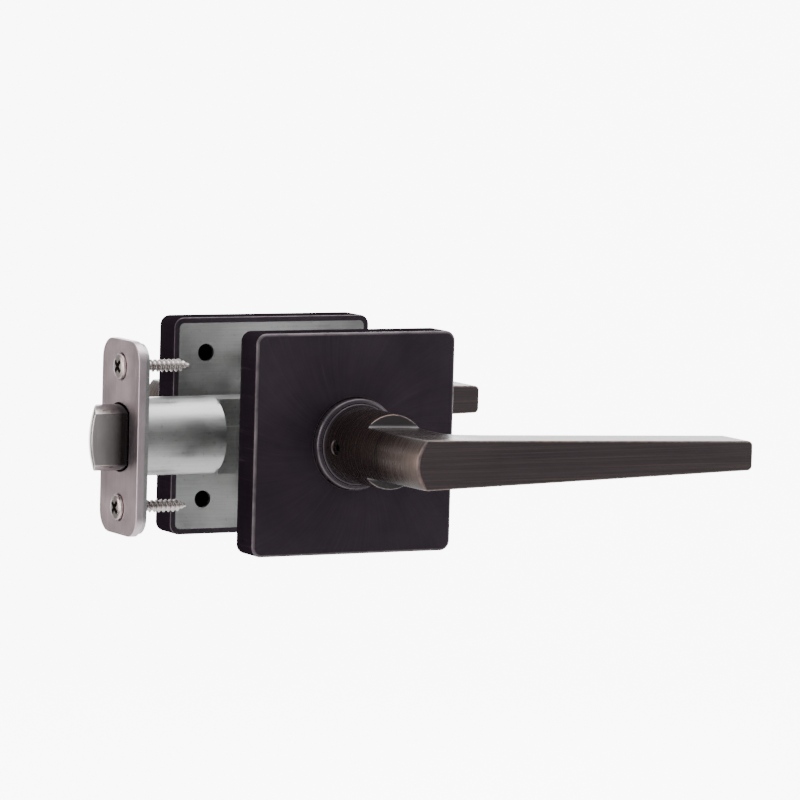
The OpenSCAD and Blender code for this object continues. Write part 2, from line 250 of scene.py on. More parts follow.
class Graph:
    """A material under construction."""

    def __init__(self, name):
        self.material = bpy.data.materials.new(name)
        self.material.use_nodes = True
        self.tree = self.material.node_tree
        self.shader = next(n for n in self.tree.nodes if n.type == "BSDF_PRINCIPLED")
        self.coords = self.add("ShaderNodeTexCoord").outputs["Object"]

    def add(self, kind, **settings):
        node = self.tree.nodes.new(kind)
        for key, value in settings.items():
            setattr(node, key, value)
        return node

    def feed(self, socket, value):
        if isinstance(value, bpy.types.NodeSocket):
            self.tree.links.new(value, socket)
        else:
            socket.default_value = value

    def math(self, operation, a, b=0.0):
        node = self.add("ShaderNodeMath", operation=operation)
        self.feed(node.inputs[0], a)
        self.feed(node.inputs[1], b)
        return node.outputs[0]

    def scaled(self, scale):
        node = self.add("ShaderNodeMapping")
        self.feed(node.inputs["Vector"], self.coords)
        node.inputs["Scale"].default_value = scale
        return node.outputs[0]

    def noise(self, scale, vector=None, detail=4.0, roughness=0.55):
        node = self.add("ShaderNodeTexNoise")
        self.feed(node.inputs["Vector"], vector or self.coords)
        node.inputs["Scale"].default_value = scale
        node.inputs["Detail"].default_value = detail
        node.inputs["Roughness"].default_value = roughness
        return node.outputs["Fac"]

    def span(self, value, low, high, out_low=0.0, out_high=1.0):
        node = self.add("ShaderNodeMapRange")
        self.feed(node.inputs["Value"], value)
        set_range(node, low, high, out_low, out_high)
        return node.outputs[0]

    def times(self, a, b):
        return self.math("MULTIPLY", a, b)

    def plus(self, a, b):
        return self.math("ADD", a, b)

    def mix(self, factor, a, b):
        node = self.add("ShaderNodeMix", data_type="RGBA")
        self.feed(node.inputs["Factor"], factor)
        for socket, value in ((node.inputs[6], a), (node.inputs[7], b)):
            self.feed(socket, value if isinstance(value, bpy.types.NodeSocket) else (*value, 1.0))
        return node.outputs[2]

    def bump(self, height, strength, distance):
        node = self.add("ShaderNodeBump")
        self.feed(node.inputs["Height"], height)
        node.inputs["Strength"].default_value = strength
        node.inputs["Distance"].default_value = distance
        self.feed(self.shader.inputs["Normal"], node.outputs[0])

    def axes(self):
        """The object's x, y and z."""
        node = self.add("ShaderNodeSeparateXYZ")
        self.feed(node.inputs[0], self.coords)
        return node.outputs

    def towards(self, direction, vector):
        node = self.add("ShaderNodeVectorMath", operation="DOT_PRODUCT")
        self.feed(node.inputs[0], vector)
        node.inputs[1].default_value = direction
        return node.outputs["Value"]

    def attribute(self, name):
        return self.add("ShaderNodeAttribute", attribute_name=name).outputs["Fac"]

    def finish(self, base, rough, metallic=1.0, **fixed):
        self.feed(self.shader.inputs["Base Color"], base)
        self.feed(self.shader.inputs["Roughness"], rough)
        self.shader.inputs["Metallic"].default_value = metallic
        for key, value in fixed.items():
            self.shader.inputs[key.replace("_", " ")].default_value = value
        return self.material


def worn_and_highlit(g, base, amount, colour, scale):
    """Lighter edges, part rubbed-through metal and part painted highlight, broken up by noise."""
    wear_and_highlight_share = g.times(g.attribute("wear_and_highlight"), g.span(g.noise(scale, detail=3.0), 0.35, 0.65, 0.35, 1.0))
    return g.mix(g.times(wear_and_highlight_share, amount), base, colour)


def from_middle(height):
    """Distance from the door's middle plane of a height above its face in millimetres."""
    return half_door + height * MM


def lever_finish():
    """Dark rubbed bronze: lines along the arm, and around the neck; the neck is darkened by painted shade
    and carries a painted highlight near its front.
    """
    g = Graph("lever_bronze")
    x, y, z = g.axes()[:3]
    depth = g.math("ABSOLUTE", y)
    off_centre = g.math("ABSOLUTE", z)
    along = g.noise(1.0, g.scaled((14, 3200, 3200)), detail=5.0, roughness=0.7)
    around = g.noise(1.0, g.scaled((45, 2400, 45)), detail=5.0, roughness=0.7)
    behind_face = g.math("LESS_THAN", depth, from_middle(lever_front - 0.6))
    neck = g.times(g.span(x, 0.006, 0.015, 1.0, 0.0), behind_face)
    lines = g.plus(g.times(around, neck), g.times(along, g.math("SUBTRACT", 1.0, neck)))
    tone = g.plus(g.times(lines, 0.8), g.times(g.noise(38.0, detail=2.0), 0.2))

    def by_tone(dark, light):
        return g.mix(g.span(tone, 0.36, 0.66), dark, light)

    arm_colour = by_tone((0.036, 0.028, 0.0305), (0.074, 0.0570, 0.0595))
    # Painted shade: the round neck is coloured darker than the arm, though it is the same bronze.
    neck_painted_shade = by_tone((0.012, 0.008, 0.008), (0.028, 0.018, 0.016))
    # Painted highlight: a lighter, warmer band on the neck's sides near the front face, brightest at
    # mid-height.
    painted_highlight = by_tone((0.100, 0.075, 0.066), (0.155, 0.118, 0.104))
    painted_highlight_band = g.times(
        g.span(depth, from_middle(44), from_middle(67)), g.span(off_centre, 0.0025, 0.0075, 1.0, 0.0)
    )
    base = g.mix(neck, arm_colour, g.mix(painted_highlight_band, neck_painted_shade, painted_highlight))
    base = g.mix(g.attribute("shoulder"), base, (0.060, 0.055, 0.058))
    skirt = g.math("LESS_THAN", depth, from_middle(14.1))
    base = g.mix(skirt, base, (0.040, 0.032, 0.040))
    copper = g.times(g.span(lines, 0.58, 0.70), g.span(neck, 0.0, 1.0, 0.5, 0.2))
    base = g.mix(copper, base, (0.115, 0.055, 0.042))
    patches = g.span(g.noise(60.0, detail=2.0), 0.52, 0.66)
    # Light edges of the lever: part rubbed-through wear, part painted highlight.
    edge_wear_and_highlight_colour = g.mix(patches, (0.20, 0.152, 0.142), (0.23, 0.135, 0.105))
    beyond_skirt = g.math("GREATER_THAN", depth, from_middle(lever_back + 5))
    base = worn_and_highlit(g, base, g.times(beyond_skirt, 0.6), edge_wear_and_highlight_colour, 500.0)
    g.bump(lines, 0.05, 0.00006)
    smoother_neck = g.times(g.times(neck, g.math("SUBTRACT", 1.0, painted_highlight_band)), -0.08)
    rough = g.plus(g.span(lines, 0.3, 0.7, 0.27, 0.40), smoother_neck)
    return g.finish(base, rough, metallic=0.5, Specular_IOR_Level=0.42)


def radial_bronze(name, dark, warm, rough=(0.36, 0.46), metallic=0.5, level=0.34):
    """Bronze with faint hairlines running outward from the spindle axis."""
    g = Graph(name)
    x, y, z = g.axes()[:3]
    reach = g.math("SQRT", g.plus(g.math("POWER", x, 2.0), g.math("POWER", z, 2.0)))
    angle = g.plus(g.math("ARCTAN2", z, x), g.times(reach, 9.0))
    ray = g.add("ShaderNodeCombineXYZ")
    for socket, value, scale in zip(ray.inputs, (angle, reach, y), (48.0, 28.0, 60.0)):
        g.feed(socket, g.times(value, scale))
    rays = g.noise(1.0, ray.outputs[0], detail=5.0, roughness=0.65)
    tone = g.plus(g.times(rays, 0.45), g.times(g.noise(55.0, detail=3.0), 0.55))
    base = g.mix(g.span(tone, 0.36, 0.66), dark, warm)
    hair = g.times(g.span(rays, 0.62, 0.74), 0.55)
    base = g.mix(hair, base, (0.06, 0.042, 0.05))
    # Light rims of the rose and housing: part wear, part painted highlight.
    base = worn_and_highlit(g, base, 0.85, (0.13, 0.108, 0.118), 160.0)
    g.bump(rays, 0.05, 0.00004)
    return g.finish(base, g.span(tone, 0.35, 0.65, *rough), metallic=metallic, Specular_IOR_Level=level)


def plated_metal(
    name, dark, light, rough, stretch=(300, 300, 300), streak=0.25, bump=0.05, spots=0.0, painted_shade_along_x=None
):
    """Plated or bare steel: tone drifts, fine lines and a little tarnish.

    stretch and streak set the lines, spots the share of dark specks, and the last argument,
    (x from, x to, share), darkens the metal along x as painted shade.
    """
    g = Graph(name)
    lines = g.noise(1.0, g.scaled(stretch), detail=6.0, roughness=0.6)
    cloud = g.noise(90.0, detail=4.0)
    tone = g.plus(g.times(lines, streak), g.times(cloud, 1.0 - streak))
    base = g.mix(g.span(tone, 0.35, 0.68), dark, light)
    if spots:
        specks = g.span(g.noise(900.0, detail=2.0), 0.62, 0.74)
        base = g.mix(g.times(specks, spots), base, tuple(0.35 * c for c in dark))
    if painted_shade_along_x:
        start, end, share = painted_shade_along_x
        base = g.mix(g.span(g.axes()[0], start, end), base, tuple(share * c for c in dark))
    g.bump(lines, bump, 0.00005)
    return g.finish(base, g.span(cloud, 0.3, 0.7, *rough), metallic=1.0)


lever_bronze = lever_finish()
rose_bronze = radial_bronze("rose_bronze", (0.0225, 0.0152, 0.0230), (0.0370, 0.0260, 0.0368))
# Painted shade: a darker, glossless copy of the rose's bronze for its sides.
rose_side_painted_shade = radial_bronze("rose_side_painted_shade", (0.009, 0.006, 0.009), (0.014, 0.010, 0.014), (0.40, 0.50), 0.0, 0.0)
housing_bronze = radial_bronze("housing_bronze", (0.032, 0.026, 0.034), (0.050, 0.041, 0.052), (0.26, 0.36))
nickel = plated_metal(
    "faceplate_nickel", (0.49, 0.41, 0.44), (0.61, 0.525, 0.56), (0.30, 0.42), (2500, 2500, 30), 0.5
)
screw_nickel = plated_metal("screw_nickel", (0.47, 0.41, 0.405), (0.60, 0.54, 0.53), (0.20, 0.32))
chrome = plated_metal(
    "bolt_chrome", (0.42, 0.385, 0.376), (0.59, 0.55, 0.54), (0.16, 0.26), (1800, 1800, 60), 0.35,
    # Painted shade: the bolt darkens from near its tip towards its root.
    painted_shade_along_x=(bolt_tip_x + 0.002, bolt_tip_x + 0.0095, 0.06),
)
# Painted shade: dark colour for the bottoms of the screws' cross recesses.
recess_painted_shade = plated_metal("recess_painted_shade", (0.035, 0.028, 0.027), (0.07, 0.058, 0.056), (0.45, 0.6))
spring_steel = plated_metal("spring_steel", (0.17, 0.17, 0.19), (0.30, 0.30, 0.33), (0.25, 0.38), spots=0.3)
black_steel = plated_metal("black_steel", (0.025, 0.025, 0.027), (0.05, 0.05, 0.052), (0.35, 0.5))
zinc_steel = plated_metal("zinc_steel", (0.36, 0.36, 0.35), (0.50, 0.50, 0.485), (0.22, 0.38), spots=0.4)
cast_zinc = plated_metal(
    "cast_zinc", (0.25, 0.255, 0.27), (0.36, 0.365, 0.38), (0.38, 0.55), bump=0.25, spots=0.5
)
sheet_zinc = plated_metal(
    "sheet_zinc", (0.32, 0.325, 0.325), (0.43, 0.435, 0.43), (0.26, 0.42), (60, 60, 2400), 0.45, spots=0.3
)

SLOT_MATERIALS = {
    "lever_bronze": lever_bronze,
    "rose_bronze": rose_bronze,
    "housing_bronze": housing_bronze,
    "faceplate_nickel": nickel,
    "screw_nickel": screw_nickel,
    "bolt_chrome": chrome,
    "spring_steel": spring_steel,
    "black_steel": black_steel,
    "zinc_plated_steel": zinc_steel,
    "die_cast_zinc": cast_zinc,
    "pressed_zinc_steel": sheet_zinc,
}
for part in frame["record"]["subparts"]:
    obj = nodes[part["node"]]
    obj.data.materials.clear()
    obj.data.materials.append(SLOT_MATERIALS[part["material_slot"]])


# New pieces -------------------------------------------------------------------------


def shade(obj, angle=40):
    """Marks hard edges sharp, weights the normals by face size and flags narrow bevel faces for edge wear
    and painted highlight.
    """
    bm = bmesh.new()
    bm.from_mesh(obj.data)
    bmesh.ops.remove_doubles(bm, verts=bm.verts, dist=1e-6)
    bmesh.ops.dissolve_degenerate(bm, dist=1e-6, edges=bm.edges)
    layer = bm.faces.layers.float.new("wear_and_highlight")
    for edge in bm.edges:
        edge.smooth = edge.calc_face_angle(0.0) < radians(angle)
    for face in bm.faces:
        face.smooth = True
        around = max(face.calc_perimeter(), 1e-9)
        turned = sum(e.calc_length() for e in face.edges if e.calc_face_angle_signed(0.0) > radians(9))
        width = 2 * face.calc_area() / around
        face[layer] = 1.0 if turned > 0.3 * around and width < 0.4 * MM else 0.0
    bm.to_mesh(obj.data)
    bm.free()
    weight = obj.modifiers.new("normals", "WEIGHTED_NORMAL")
    weight.weight = 100
    weight.keep_sharp = True
    bake(obj)


# The lever, in trim axes: a round neck with flats, an elbow, and an arm tapering to the tip.

NECK_BASE_R = 11.3
NECK_FRONT_R = 10.3
NECK_CORNER = 1.1
FLAT_START = 33.8
ARM_DEPTH = 15.5
ARM_ROOT = 14.0
ARM_TIP = 8.7
ARM_START = 17.0
TIP_CORNER = 1.5
TIP_BOW_R = 140.0
ELBOW = 6.0
ELBOW_START_R = 10.5
SKIRT_R = 12.0
SKIRT_TOP = 13.9
SLEEVE_R = 8.0
SLEEVE_END = 27.0
LEVER_EDGE = 0.5

# Points in each stretch of the lever's outline
ARC_STEPS = 40
CORNER_STEPS = 4
FLAT_STEPS = 8
SIDE_STEPS = 26
TIP_CORNER_STEPS = 7
TIP_STEPS = 4

tip_x = lever_length - TIP_CORNER
arm_back = lever_front - ARM_DEPTH
elbow_r = ELBOW_START_R + ELBOW


def clamped(value):
    return min(max(value, 0), 1)


def neck_radius(z):
    share = (z - lever_back) / (lever_front - lever_back)
    return NECK_BASE_R - (NECK_BASE_R - NECK_FRONT_R) * share


def lever_loop(z, right_r, soft=NECK_CORNER, arm=False, under=0.0, lift=0.0):
    """Outline at height z: round left end, flats, then a round end (right_r) or the arm's tip.

    soft is how far convex corners are rounded at this height, arm switches to the arm's tip,
    under is the inset of the arm's own sides and lift raises the flats where they run out.
    """
    slope = (ARM_ROOT - ARM_TIP) / 2 / tip_x
    lean = atan2(slope, 1)
    root = ARM_ROOT / 2 + lift
    inset = NECK_CORNER - soft
    inner_root = root - NECK_CORNER / cos(lean)

    def on_flat(x, side, cut):
        return (x, side * (root - slope * x - cut / cos(lean)))

    def meet(r, sign):
        """Where a circle of radius r meets the flat's inner line, to the left or right."""
        a = 1 + slope * slope
        c = inner_root
        return (c * slope + sign * sqrt(max((c * slope) ** 2 - a * (c * c - r * r), 0))) / a

    def sweep(centre, first, last, steps):
        """The rounding of a convex corner, without its first point."""
        angles = [first + (last - first) * i / steps for i in range(1, steps + 1)]
        return [(centre[0] + soft * cos(a), centre[1] + soft * sin(a)) for a in angles]

    # Round left end, drawn in slightly towards the front face
    left_r = neck_radius(z) - NECK_CORNER - 0.35 * (max(z - 58, 0) / 10) ** 2
    x_left = meet(left_r, -1)
    top_left = (x_left, inner_root - slope * x_left)
    start = atan2(top_left[1], top_left[0])
    flat_angle = pi / 2 - lean
    angles = [start + (2 * pi - 2 * start) * i / ARC_STEPS for i in range(ARC_STEPS + 1)]
    points = [((left_r + soft) * cos(a), (left_r + soft) * sin(a)) for a in angles]
    points += sweep((x_left, -top_left[1]), 2 * pi - start, 2 * pi - flat_angle, CORNER_STEPS)[:-1]

    # Lower flat
    right_in = right_r - NECK_CORNER
    x_right = meet(right_in, 1)
    x_turn = ARM_START if arm else x_right
    xs = [x_left + (x_turn - x_left) * i / FLAT_STEPS for i in range(FLAT_STEPS + 1)]
    points += [on_flat(x, -1, inset) for x in xs]

    half = []
    if arm:
        cut = max(inset, under)
        for i in range(1, SIDE_STEPS + 1):
            x = x_turn + (tip_x - x_turn) * i / SIDE_STEPS
            half.append(on_flat(x, -1, max(inset, under * clamped((x - x_turn) / 3))))
        corner_y = -(ARM_TIP / 2 - TIP_CORNER)
        for i in range(1, TIP_CORNER_STEPS + 1):
            a = -flat_angle + (flat_angle - radians(1.2)) * i / TIP_CORNER_STEPS
            half.append((tip_x + (TIP_CORNER - cut) * cos(a), corner_y + (TIP_CORNER - cut) * sin(a)))
        for i in range(1, TIP_STEPS + 1):
            y = corner_y * (1 - i / TIP_STEPS)
            half.append((lever_length - TIP_BOW_R + sqrt(TIP_BOW_R * TIP_BOW_R - y * y) - cut, y))
        points += half + [(x, -y) for x, y in reversed(half[:-1])]
    else:
        corner = (x_right, -(inner_root - slope * x_right))
        low_angle = atan2(corner[1], corner[0])
        half = sweep(corner, -flat_angle, low_angle, CORNER_STEPS)
        rest = 2 * (SIDE_STEPS + TIP_CORNER_STEPS + TIP_STEPS) - 1 - 2 * CORNER_STEPS
        angles = [low_angle - 2 * low_angle * i / (rest + 1) for i in range(1, rest + 1)]
        middle = [((right_in + soft) * cos(a), (right_in + soft) * sin(a)) for a in angles]
        points += half + middle + [(x, -y) for x, y in reversed(half)]

    # Upper flat, back to the left end
    points += [on_flat(x, 1, inset) for x in reversed(xs)]
    return points + sweep(top_left, flat_angle, start, CORNER_STEPS)[:-1]


def lever_mesh():
    """One lever as a closed skin of loops, from the sleeve's bore out to the front face."""
    cove = 1.1
    pattern = lever_loop(FLAT_START, neck_radius(FLAT_START), lift=cove)
    angles = [atan2(y, x) for x, y in pattern]
    reach = [sqrt(x * x + y * y) for x, y in pattern]

    # Sleeve, back face and skirt
    loops = [ring(angles, 0.05, SLEEVE_END), ring(angles, SLEEVE_R - 0.3, SLEEVE_END)]
    loops += [ring(angles, SLEEVE_R, SLEEVE_END - 0.3), ring(angles, SLEEVE_R, lever_back + 0.3)]
    loops += [ring(angles, SLEEVE_R + 0.3, lever_back), ring(angles, SKIRT_R - 0.4, lever_back)]
    for a in (radians(-90 + 22.5 * i) for i in range(1, 5)):
        loops.append(ring(angles, SKIRT_R - 0.4 + 0.4 * cos(a), lever_back + 0.4 + 0.4 * sin(a)))
    for a in (radians(18 * i) for i in range(6)):
        loops.append(ring(angles, SKIRT_R - 0.5 + 0.5 * cos(a), SKIRT_TOP - 0.5 + 0.5 * sin(a)))

    # Round neck, then the rim where the flats begin, and the cove that runs into them
    for z in (SKIRT_TOP, 14.6, 16.4, 18.2, screw_line, 21.2, 23, 26, 29.5, 33.0):
        loops.append(ring(angles, neck_radius(z), z))
    for a in (radians(22.5 * i) for i in range(5)):
        z = FLAT_START - 0.35 + 0.35 * sin(a)
        full = neck_radius(z)
        row = [full - 0.35 * (1 - cos(a)) * clamped((full - r) / 0.5) for r in reach]
        loops.append([(r * cos(angle), r * sin(angle), z) for r, angle in zip(row, angles)])
    for a in (radians(15 * i) for i in range(7)):
        z = FLAT_START + cove * (1 - cos(a))
        loops.append(level(lever_loop(z, neck_radius(z), lift=cove * (1 - sin(a))), z))
    for z in (37, 41, 45, arm_back - ELBOW - 0.1):
        loops.append(level(lever_loop(z, neck_radius(z)), z))

    # Elbow and arm
    for a in (radians(7.5 * i) for i in range(1, 13)):
        z = arm_back - ELBOW + ELBOW * sin(a)
        loops.append(level(lever_loop(z, max(elbow_r - ELBOW * cos(a), neck_radius(z))), z))
    for a in (radians(22.5 * i) for i in range(5)):
        z = arm_back + LEVER_EDGE * (1 - cos(a))
        loops.append(level(lever_loop(z, elbow_r, arm=True, under=LEVER_EDGE * (1 - sin(a))), z))
    for z in (57, 60, 61.5, 63, 64.5, 66):
        loops.append(level(lever_loop(z, elbow_r, arm=True), z))

    # Front edge, rounded more over the elbow than along the arm
    outer = lever_loop(lever_front, elbow_r, arm=True)
    inner = lever_loop(lever_front, elbow_r, soft=0.0, arm=True)
    for a in (radians(14.8 * i) for i in range(7)):
        row = []
        for k, ((x, y), (u, v)) in enumerate(zip(outer, inner)):
            fade = clamped(min(k, ARC_STEPS - k) / 8)
            size = LEVER_EDGE * (1 + 1.1 * fade * fade * (3 - 2 * fade))
            share = size * (1 - cos(a)) / NECK_CORNER
            row.append((x + (u - x) * share, y + (v - y) * share, lever_front - size * (1 - sin(a))))
        loops.append(row)
    return stack([mm(loop) for loop in loops])


def build_lever(side, word):
    hole_r, chamfer_r = 2.15, 2.6
    place = trim_place(side)
    obj = make_object(word + "_lever_skin", *lever_mesh(), place)
    hole = [(0, 4), (hole_r, 4), (hole_r, 10.7), (chamfer_r, 11.3), (chamfer_r, 20), (0, 20)]
    verts, faces = lathe(mm(hole), 40)
    sideways = [(-z, y, screw_line * MM + x) for x, y, z in verts]
    cut(obj, make_object("cutter", sideways, faces, place))
    shade(obj)
    back = place.inverted()
    wear_and_highlight = obj.data.attributes["wear_and_highlight"].data
    shoulder = obj.data.attributes.new("shoulder", "FLOAT", "FACE").data
    for polygon in obj.data.polygons:
        x, y, z = back @ polygon.center / MM
        normal = back.to_3x3() @ polygon.normal
        if FLAT_START - 0.05 < z < lever_front - 2 and x < ARM_START:
            wear_and_highlight[polygon.index].value = 0.0
        elif z < 30:
            # Painted highlight: round the set screw's hole only the chamfer takes the light edge colour.
            off = sqrt((z - screw_line) ** 2 + y**2)
            painted_rim_highlight = hole_r - 0.05 < off < chamfer_r + 0.1 and x < -10 and normal.x > -0.97
            wear_and_highlight[polygon.index].value = 1.0 if painted_rim_highlight else 0.0
        if FLAT_START - 0.4 < z < FLAT_START + 1.2 and normal.z > 0.3:
            shoulder[polygon.index].value = 1.0
    finish_piece(obj, word + "_lever", "lever_bronze", lever_bronze, word + "_lever")


ROSE_EDGE = 0.75


def rose_mesh():
    """Hollow square escutcheon with a soft front edge and a lip round its hole."""
    corner, edge, wall = 3.0, ROSE_EDGE, 1.6
    hole_r, lip_r = 13.55, 13.9
    top = rose_depth

    def square(d, z):
        return level(round_rect(rose_half - d, rose_half - d, max(corner - d, 0.4), 10, 40), z)

    angles = [atan2(y, x) for x, y, z in square(0, 0)]
    inner = round_rect(rose_half - wall, rose_half - wall, corner - 1.4, 10, 40)

    def between(share):
        """A loop of the front face, from the hole's lip (0) to the rounded edge (1)."""
        pairs = zip(ring(angles, lip_r, top), square(edge, top))
        return [tuple(h + (o - h) * share for h, o in zip(*pair)) for pair in pairs]

    loops = [ring(angles, hole_r, top - wall), ring(angles, hole_r, top - 0.35)]
    loops += [ring(angles, hole_r + 0.1, top - 0.1), ring(angles, lip_r, top)]
    loops += [between(share) for share in (0.15, 0.4, 0.7, 0.9, 0.98, 1.0)]
    for a in (radians(90 - 15 * i) for i in range(1, 7)):
        loops.append(square(edge * (1 - cos(a)), top - edge + edge * sin(a)))
    loops += [square(0, 6), square(0, 0.2), square(0.2, 0), level(inner, 0), level(inner, top - wall)]
    return stack([mm(loop) for loop in loops], closed=True)


def build_rose(side, word):
    place = trim_place(side)
    obj = make_object(word + "_rose_skin", *rose_mesh(), place)
    shade(obj)
    finish_piece(obj, "fixed_parts", "rose_bronze", rose_bronze, word + "_rose")
    obj.data.materials.append(rose_side_painted_shade)
    # The sides below the rounded edge take the darker copy, as painted shade.
    back = place.inverted()
    for polygon in obj.data.polygons:
        below_edge = (back @ polygon.center).z < (rose_depth - ROSE_EDGE) * MM
        sideways = abs((back.to_3x3() @ polygon.normal).z) < 0.5
        polygon.material_index = 1 if below_edge and sideways else 0


def joined(*meshes):
    verts, faces = [], []
    for some, more in meshes:
        faces += [[len(verts) + i for i in f] for f in more]
        verts += some
    return verts, faces


def turned(outline, angle):
    return [(x * cos(angle) - y * sin(angle), x * sin(angle) + y * cos(angle)) for x, y in outline]


def build_housing(side, word):
    """Spring housing: a cup with a rounded collar that stands out of the rose, and a rib for the spring."""
    profile = [(14.8, 1.7), (14.8, 8.8), (14.6, 9.0), (13.4, 9.0)]
    for a in (radians(9 * i) for i in range(11)):
        profile.append((12.15 + 1.25 * cos(a), collar_top - 1.0 + sin(a)))
    profile += [(12.15, 9.4), (9.35, 9.4), (9.05, 9.1), (9.05, 7), (13, 7), (13, 1.5), (14.6, 1.5)]
    cup = lathe(mm(profile), 128, closed=True)
    rib_outline = [(11.3, -1.2), (13.6, -1.2), (13.6, 1.2), (11.3, 1.2)]
    verts, faces = prism(turned(rib_outline, radians(138)), 4.4, 7.1)
    obj = make_object(word + "_housing_skin", *joined(cup, (mm(verts), faces)), trim_place(side))
    shade(obj)
    finish_piece(obj, "fixed_parts", "housing_bronze", housing_bronze, word + "_spring_housing")


BOLT_R = 9.7
BOLT_FLAT = 6.1
BOLT_EDGE = 0.45


def bolt_outline(gap=0.0):
    """D section in (-Y, Z), flat side towards the outside of the door, with soft corners.

    Gives the points, grown by gap, and the outward direction at each one.
    """
    round_steps, corner_steps, flat_steps = 72, 5, 16
    r = BOLT_R + gap - BOLT_EDGE
    flat = BOLT_FLAT + gap - BOLT_EDGE
    high = sqrt(r * r - flat * flat)
    cut = atan2(high, flat)
    angles = [cut + (2 * pi - 2 * cut) * i / round_steps for i in range(round_steps + 1)]
    rows = [(r * cos(a), r * sin(a), cos(a), sin(a)) for a in angles]
    for i in range(1, corner_steps + 1):
        a = 2 * pi - cut + cut * i / corner_steps
        rows.append((*rows[round_steps][:2], cos(a), sin(a)))
    rows += [(flat, -high + 2 * high * i / flat_steps, 1.0, 0.0) for i in range(1, flat_steps)]
    for i in range(corner_steps):
        a = cut * i / corner_steps
        rows.append((flat, high, cos(a), sin(a)))
    points = [(x + BOLT_EDGE * nx, y + BOLT_EDGE * ny) for x, y, nx, ny in rows]
    return points, [row[2:] for row in rows]


def build_faceplate():
    corner = 6.35
    bolt_gap = 0.5
    sink = [(0, 1), (4.75, 1), (4.75, 0.45), (4.3, 0), (2.3, -2), (2.2, -2), (2.2, -4), (0, -4)]

    def row(d, z):
        return level(round_rect(plate_width / 2 - d, plate_height / 2 - d, corner - d, 14, 4), z)

    loops = [row(0.1, -plate_t), row(0, -plate_t + 0.1), row(0, -0.3)]
    loops += [row(0.3 - 0.3 * cos(radians(a)), -0.3 + 0.3 * sin(radians(a))) for a in (22, 45, 67, 90)]
    plate = make_object("faceplate_skin", *stack([mm(loop) for loop in loops]), edge_place)
    verts, faces = prism(bolt_outline(bolt_gap)[0], -4, 2)
    cut(plate, make_object("cutter", mm(verts), faces, edge_place))
    verts, faces = lathe(mm(sink), 64)
    for end in (-1, 1):
        moved = [(x, y + end * plate_screw_z * MM, z) for x, y, z in verts]
        cut(plate, make_object("cutter", moved, faces, edge_place))
    shade(plate, 30)
    finish_piece(plate, "fixed_parts", "faceplate_nickel", nickel, "faceplate")


def thread_rows(core, crest, pitch, top, bottom, count, per_turn=10, run_out=3.0):
    """Loops of a helical thread going down from top to bottom, all in millimetres."""
    rows = []
    steps = int((top - bottom) / pitch * per_turn)
    for i in range(steps + 1):
        z = top - (top - bottom) * i / steps
        fade = max(min((top - z) / pitch, 1, (z - bottom) / run_out), 0)
        root = core * (0.35 + 0.65 * min((z - bottom) / run_out, 1))
        row = []
        for k, a in enumerate(even_angles(count)):
            phase = (z / pitch - k / count) % 1
            ridge = max(0, 1 - abs(phase - 0.5) / 0.36)
            r = root + (crest - core) * ridge * fade
            row.append((r * cos(a), r * sin(a), z))
        rows.append(row)
    return rows


def cut_cross(obj, place, width, slot, depth, top):
    """Cuts a tapered cross recess, one blade at a time."""
    for turn in (0, pi / 2):
        loops = []
        for share, z in ((1.0, top + 1), (1.0, top), (0.45, top - depth)):
            w, t = width / 2 * share, slot / 2 * (0.6 + 0.4 * share)
            loops.append(level(turned([(-w, -t), (w, -t), (w, t), (-w, t)], turn), z))
        blade = make_object("cutter", *stack([mm(loop) for loop in loops]), place)
        cut(obj, blade)


def darken_recess(obj, place, radius, top, low):
    """Painted shade in the bottom of a driver recess, on the faces between low and the head's dome."""
    back = place.inverted()
    obj.data.materials.append(recess_painted_shade)
    for polygon in obj.data.polygons:
        x, y, z = back @ polygon.center / MM
        r = sqrt(x * x + y * y)
        if r < radius and low < z < top - 0.045 * r * r - 0.1:
            polygon.material_index = 1


def build_screw_pair(name, base, spread, turns, profile, thread, cross, recess, slot, material, node):
    """Two cross-recessed screws at -spread and +spread along the second axis of base, in millimetres.

    profile runs down the head's side to the thread; the first screw stands for the CAD node.
    """
    count = thread["count"]
    for end, word, turn in ((-1, "low", turns[0]), (1, "high", turns[1])):
        place = base @ Matrix.Translation((0, end * spread * MM, 0)) @ Matrix.Rotation(turn, 4, "Z")
        loops = [ring(even_angles(count), r, z) for r, z in profile] + thread_rows(**thread)
        obj = make_object(name + "_" + word, *stack([mm(loop) for loop in loops]), place)
        cut_cross(obj, place, **cross)
        shade(obj, 45)
        finish_piece(obj, "fixed_parts", slot, material, *([node] if end < 0 else []))
        darken_recess(obj, place, **recess)


def build_faceplate_screws():
    head = [(0.02, 1.15), (1.0, 1.14), (2.0, 1.09), (2.8, 1.0), (3.2, 0.9), (3.5, 0.75), (3.66, 0.58)]
    head += [(plate_screw_head_r, 0.4), (plate_screw_head_r, -0.5), (2.2, -2), (1.6, -2.6), (1.5, -5)]
    build_screw_pair(
        "faceplate_screw", edge_place, plate_screw_z, (0.85, 0.85), head,
        thread=dict(core=1.35, crest=1.95, pitch=1.5, top=-6, bottom=-21.9, count=36),
        cross=dict(width=4.7, slot=1.35, depth=2.0, top=1.12),
        recess=dict(radius=2.4, top=1.15, low=-1.5),
        slot="screw_nickel", material=screw_nickel, node="faceplate_screws",
    )


def build_mounting_screws():
    head = [(0.02, 4.08), (1.2, 3.97), (2.2, 3.7), (3.0, 3.35), (3.5, 3.0), (3.72, 2.6)]
    head += [(mount_screw_head_r, 1.7), (3.55, 1.5), (2.0, 1.5), (1.98, 0.5)]
    build_screw_pair(
        "mounting_screw", trim_place(1), mount_screw_z, (-0.3, 0.3), head,
        thread=dict(
            core=1.65, crest=1.99, pitch=0.7, top=0.3, bottom=-24.2, count=30, per_turn=7, run_out=1.0
        ),
        cross=dict(width=4.6, slot=1.3, depth=2.0, top=3.95),
        recess=dict(radius=2.4, top=4.05, low=1.6),
        slot="zinc_plated_steel", material=zinc_steel, node="mounting_screws",
    )


